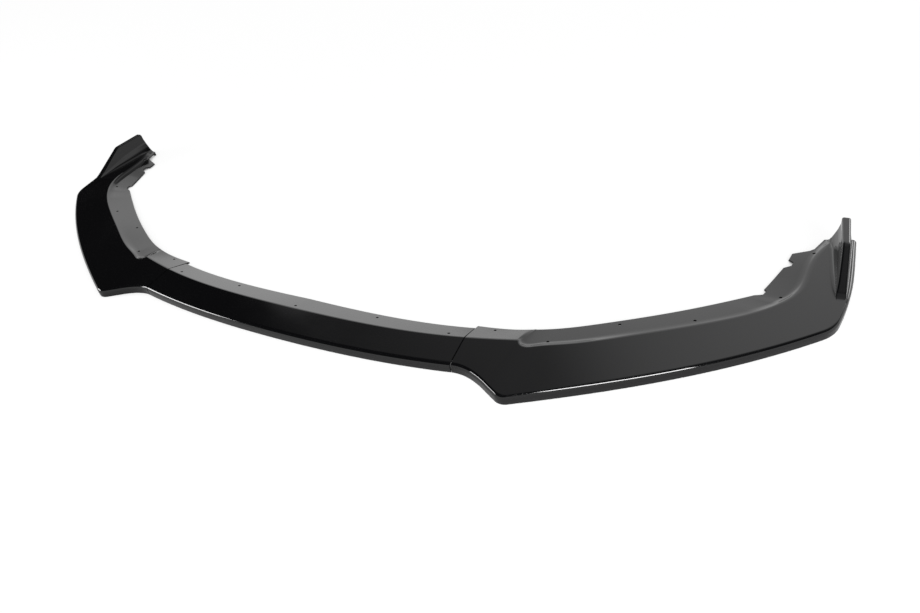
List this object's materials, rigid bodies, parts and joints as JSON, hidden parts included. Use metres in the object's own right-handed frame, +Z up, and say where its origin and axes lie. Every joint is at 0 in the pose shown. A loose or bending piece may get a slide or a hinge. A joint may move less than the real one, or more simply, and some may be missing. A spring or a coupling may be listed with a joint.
{
  "type": "front splitter lip",
  "caption": "Gloss black moulded front splitter lip: a centre section and handed side blades with a sloped screw flange, notched tails and upright end fins.",
  "frame": {"origin": "on the floor below the middle of the lip's box", "axes": "+X across the car to the viewer's right of the front, +Y rearward, +Z up"},
  "size_m": [1.753, 0.5201, 0.0625],
  "materials": {
    "gloss_black_plastic": "gloss black moulded plastic"
  },
  "bodies": {
    "root": {"centre_section": "gloss_black_plastic", "left_side_section": "gloss_black_plastic", "right_side_section": "gloss_black_plastic"}
  },
  "joints": []
}
